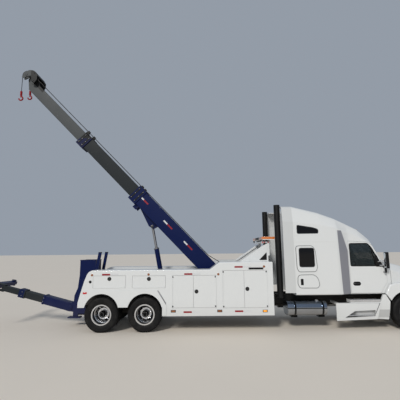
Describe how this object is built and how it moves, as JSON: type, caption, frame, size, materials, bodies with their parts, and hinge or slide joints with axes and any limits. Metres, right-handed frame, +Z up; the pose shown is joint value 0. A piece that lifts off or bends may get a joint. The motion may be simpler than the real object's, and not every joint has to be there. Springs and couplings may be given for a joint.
{
  "type": "tow truck",
  "caption": "Heavy recovery truck: sleeper tractor with a side-locker wrecker body, a raised telescopic boom with two wire rope hooks, and a tilting underlift with a crossbar.",
  "frame": {"origin": "on the ground under the middle of the whole truck's box with the boom raised and out", "axes": "+X forwards to the cab, +Y to the truck's left, +Z up"},
  "size_m": [14.7845, 2.594, 9.1048],
  "materials": {
    "white_paint": "gloss",
    "navy_paint": "gloss",
    "grey_paint": "satin",
    "black_paint": "satin",
    "polished": "polished",
    "chrome_part": "mirror",
    "rubber_black": "matt",
    "glass_dark": "clear",
    "trim_grey": "matt",
    "hook_red": "satin"
  },
  "bodies": {
    "truck": {"chassis_frame": "black_paint", "front_axle": "black_paint", "rear_axles": "black_paint", "cab_shell": "white_paint", "cab_glass": "glass_dark", "cab_interior": "trim_grey", "side_extenders": "white_paint", "bumper": "white_paint", "step_fairings": "white_paint", "fuel_tanks": "polished", "exhaust_stacks": "black_paint", "wrecker_body": "white_paint", "pylon": "white_paint", "boom_turret": "navy_paint", "lift_mast": "navy_paint", "engine": "black_paint"},
    "hood": {"hood": "white_paint", "front_trim": "trim_grey"},
    "knuckle_left": {"knuckle_left": "black_paint"},
    "front_wheel_left": {"tyre_front_left": "rubber_black", "wheel_front_left": "polished"},
    "drive_wheels_1_left": {"tyre_drive_1_left": "rubber_black", "wheel_drive_1_left": "polished"},
    "drive_wheels_2_left": {"tyre_drive_2_left": "rubber_black", "wheel_drive_2_left": "polished"},
    "cab_door_left": {"cab_door_left": "white_paint", "mirror_left": "trim_grey"},
    "leaf_3_rear_left": {"leaf_3_rear_left": "white_paint"},
    "leaf_3_front_left": {"leaf_3_front_left": "white_paint"},
    "leaf_4_rear_left": {"leaf_4_rear_left": "white_paint"},
    "leaf_4_front_left": {"leaf_4_front_left": "white_paint"},
    "drop_door_1_left": {"drop_door_1_left": "white_paint"},
    "drop_door_2_left": {"drop_door_2_left": "white_paint"},
    "knuckle_right": {"knuckle_right": "black_paint"},
    "front_wheel_right": {"tyre_front_right": "rubber_black", "wheel_front_right": "polished"},
    "drive_wheels_1_right": {"tyre_drive_1_right": "rubber_black", "wheel_drive_1_right": "polished"},
    "drive_wheels_2_right": {"tyre_drive_2_right": "rubber_black", "wheel_drive_2_right": "polished"},
    "cab_door_right": {"cab_door_right": "white_paint", "mirror_right": "trim_grey"},
    "leaf_3_rear_right": {"leaf_3_rear_right": "white_paint"},
    "leaf_3_front_right": {"leaf_3_front_right": "white_paint"},
    "leaf_4_rear_right": {"leaf_4_rear_right": "white_paint"},
    "leaf_4_front_right": {"leaf_4_front_right": "white_paint"},
    "drop_door_1_right": {"drop_door_1_right": "white_paint"},
    "drop_door_2_right": {"drop_door_2_right": "white_paint"},
    "boom_base": {"boom_base": "navy_paint"},
    "boom_mid": {"boom_mid": "grey_paint"},
    "boom_tip": {"boom_tip": "grey_paint"},
    "hook_left": {"hook_left": "hook_red"},
    "hook_right": {"hook_right": "hook_red"},
    "lift_barrel": {"lift_barrel": "navy_paint"},
    "lift_sleeve": {"lift_sleeve": "navy_paint"},
    "lift_rod": {"lift_rod": "chrome_part"},
    "underlift_base": {"underlift_base": "navy_paint"},
    "underlift_stage": {"underlift_stage": "grey_paint"},
    "underlift_toe": {"underlift_toe": "grey_paint"},
    "crossbar": {"crossbar": "navy_paint"}
  },
  "joints": [
    {"name": "steer_left", "type": "hinge", "parent": "truck", "child": "knuckle_left", "pos_m": [6.13229, 0.79, 0.517], "axis": [0, 0, 1], "range_deg": [-35, 35]},
    {"name": "front_wheel_left_spin", "type": "hinge", "parent": "knuckle_left", "child": "front_wheel_left", "pos_m": [6.13229, 1.06, 0.517], "axis": [0, 1, 0], "continuous": true},
    {"name": "drive_wheels_1_left_spin", "type": "hinge", "parent": "truck", "child": "drive_wheels_1_left", "pos_m": [-1.94771, 1.08, 0.517], "axis": [0, 1, 0], "continuous": true},
    {"name": "drive_wheels_2_left_spin", "type": "hinge", "parent": "truck", "child": "drive_wheels_2_left", "pos_m": [-3.26771, 1.08, 0.517], "axis": [0, 1, 0], "continuous": true},
    {"name": "cab_door_left_hinge", "type": "hinge", "parent": "truck", "child": "cab_door_left", "pos_m": [5.59929, 1.052, 1.6], "axis": [0, 0, -1], "range_deg": [0, 65]},
    {"name": "leaf_3_rear_left_hinge", "type": "hinge", "parent": "truck", "child": "leaf_3_rear_left", "pos_m": [-1.10171, 1.291, 1.2], "axis": [0, 0, 1], "range_deg": [0, 90]},
    {"name": "leaf_3_front_left_hinge", "type": "hinge", "parent": "truck", "child": "leaf_3_front_left", "pos_m": [0.23129, 1.291, 1.2], "axis": [0, 0, -1], "range_deg": [0, 90]},
    {"name": "leaf_4_rear_left_hinge", "type": "hinge", "parent": "truck", "child": "leaf_4_rear_left", "pos_m": [0.43829, 1.291, 1.2635], "axis": [0, 0, 1], "range_deg": [0, 90]},
    {"name": "leaf_4_front_left_hinge", "type": "hinge", "parent": "truck", "child": "leaf_4_front_left", "pos_m": [1.79629, 1.291, 1.2635], "axis": [0, 0, -1], "range_deg": [0, 90]},
    {"name": "drop_door_1_left_hinge", "type": "hinge", "parent": "truck", "child": "drop_door_1_left", "pos_m": [-3.02771, 1.291, 1.326], "axis": [-1, 0, 0], "range_deg": [0, 90]},
    {"name": "drop_door_2_left_hinge", "type": "hinge", "parent": "truck", "child": "drop_door_2_left", "pos_m": [-1.81771, 1.291, 1.321], "axis": [-1, 0, 0], "range_deg": [0, 90]},
    {"name": "steer_right", "type": "hinge", "parent": "truck", "child": "knuckle_right", "pos_m": [6.13229, -0.79, 0.517], "axis": [0, 0, 1], "range_deg": [-35, 35]},
    {"name": "front_wheel_right_spin", "type": "hinge", "parent": "knuckle_right", "child": "front_wheel_right", "pos_m": [6.13229, -1.06, 0.517], "axis": [0, 1, 0], "continuous": true},
    {"name": "drive_wheels_1_right_spin", "type": "hinge", "parent": "truck", "child": "drive_wheels_1_right", "pos_m": [-1.94771, -1.08, 0.517], "axis": [0, 1, 0], "continuous": true},
    {"name": "drive_wheels_2_right_spin", "type": "hinge", "parent": "truck", "child": "drive_wheels_2_right", "pos_m": [-3.26771, -1.08, 0.517], "axis": [0, 1, 0], "continuous": true},
    {"name": "cab_door_right_hinge", "type": "hinge", "parent": "truck", "child": "cab_door_right", "pos_m": [5.59929, -1.052, 1.6], "axis": [0, 0, 1], "range_deg": [0, 65]},
    {"name": "leaf_3_rear_right_hinge", "type": "hinge", "parent": "truck", "child": "leaf_3_rear_right", "pos_m": [-1.10171, -1.291, 1.2], "axis": [0, 0, -1], "range_deg": [0, 90]},
    {"name": "leaf_3_front_right_hinge", "type": "hinge", "parent": "truck", "child": "leaf_3_front_right", "pos_m": [0.23129, -1.291, 1.2], "axis": [0, 0, 1], "range_deg": [0, 90]},
    {"name": "leaf_4_rear_right_hinge", "type": "hinge", "parent": "truck", "child": "leaf_4_rear_right", "pos_m": [0.43829, -1.291, 1.2635], "axis": [0, 0, -1], "range_deg": [0, 90]},
    {"name": "leaf_4_front_right_hinge", "type": "hinge", "parent": "truck", "child": "leaf_4_front_right", "pos_m": [1.79629, -1.291, 1.2635], "axis": [0, 0, 1], "range_deg": [0, 90]},
    {"name": "drop_door_1_right_hinge", "type": "hinge", "parent": "truck", "child": "drop_door_1_right", "pos_m": [-3.02771, -1.291, 1.326], "axis": [1, 0, 0], "range_deg": [0, 90]},
    {"name": "drop_door_2_right_hinge", "type": "hinge", "parent": "truck", "child": "drop_door_2_right", "pos_m": [-1.81771, -1.291, 1.321], "axis": [1, 0, 0], "range_deg": [0, 90]},
    {"name": "hood_tilt", "type": "hinge", "parent": "truck", "child": "hood", "pos_m": [7.23229, 0, 0.9], "axis": [0, 1, 0], "range_deg": [0, 60]},
    {"name": "boom_lift", "type": "hinge", "parent": "truck", "child": "boom_base", "pos_m": [0.14229, 0, 1.72], "axis": [0, 1, 0], "range_deg": [-34, 9]},
    {"name": "boom_extend_1", "type": "slide", "parent": "boom_base", "child": "boom_mid", "axis": [-0.6947, 0, 0.7193], "range_m": [-2.4, 0]},
    {"name": "boom_extend_2", "type": "slide", "parent": "boom_mid", "child": "boom_tip", "axis": [-0.6947, 0, 0.7193], "range_m": [-2.4, 0]},
    {"name": "hook_left_swing", "type": "hinge", "parent": "boom_tip", "child": "hook_left", "pos_m": [-6.7857, 0.29, 8.93777], "axis": [0, -1, 0], "range_deg": [-34, 9]},
    {"name": "hook_right_swing", "type": "hinge", "parent": "boom_tip", "child": "hook_right", "pos_m": [-6.7857, -0.29, 8.93777], "axis": [0, -1, 0], "range_deg": [-34, 9]},
    {"name": "lift_cylinder_tilt", "type": "hinge", "parent": "truck", "child": "lift_barrel", "pos_m": [-1.42771, 0, 0.75], "axis": [0, 1, 0], "range_deg": [-29.57, 8.2]},
    {"name": "lift_sleeve_slide", "type": "slide", "parent": "lift_barrel", "child": "lift_sleeve", "axis": [-0.1901, 0, 0.9818], "range_m": [-0.5346, 0.1452]},
    {"name": "lift_rod_slide", "type": "slide", "parent": "lift_sleeve", "child": "lift_rod", "axis": [-0.1901, 0, 0.9818], "range_m": [-0.5346, 0.1452]},
    {"name": "underlift_tilt", "type": "hinge", "parent": "truck", "child": "underlift_base", "pos_m": [-4.60771, 0, 0.58], "axis": [0, 1, 0], "range_deg": [-22, 60]},
    {"name": "underlift_extend_1", "type": "slide", "parent": "underlift_base", "child": "underlift_stage", "axis": [-0.9659, 0, 0.2588], "range_m": [-0.6, 0]},
    {"name": "underlift_extend_2", "type": "slide", "parent": "underlift_stage", "child": "underlift_toe", "axis": [-0.9659, 0, 0.2588], "range_m": [-0.55, 0]},
    {"name": "crossbar_swivel", "type": "hinge", "parent": "underlift_toe", "child": "crossbar", "pos_m": [-7.27366, 0, 1.29434], "axis": [0.2588, 0, 0.9659], "range_deg": [-40, 40]}
  ],
  "couplings": [
    {"joint": "steer_right", "follows": "steer_left", "ratio": 1},
    {"joint": "lift_cylinder_tilt", "follows": "boom_lift", "ratio": 0.855},
    {"joint": "lift_sleeve_slide", "follows": "boom_lift", "m_per_rad": 0.8925},
    {"joint": "lift_rod_slide", "follows": "boom_lift", "m_per_rad": 0.8925}
  ]
}
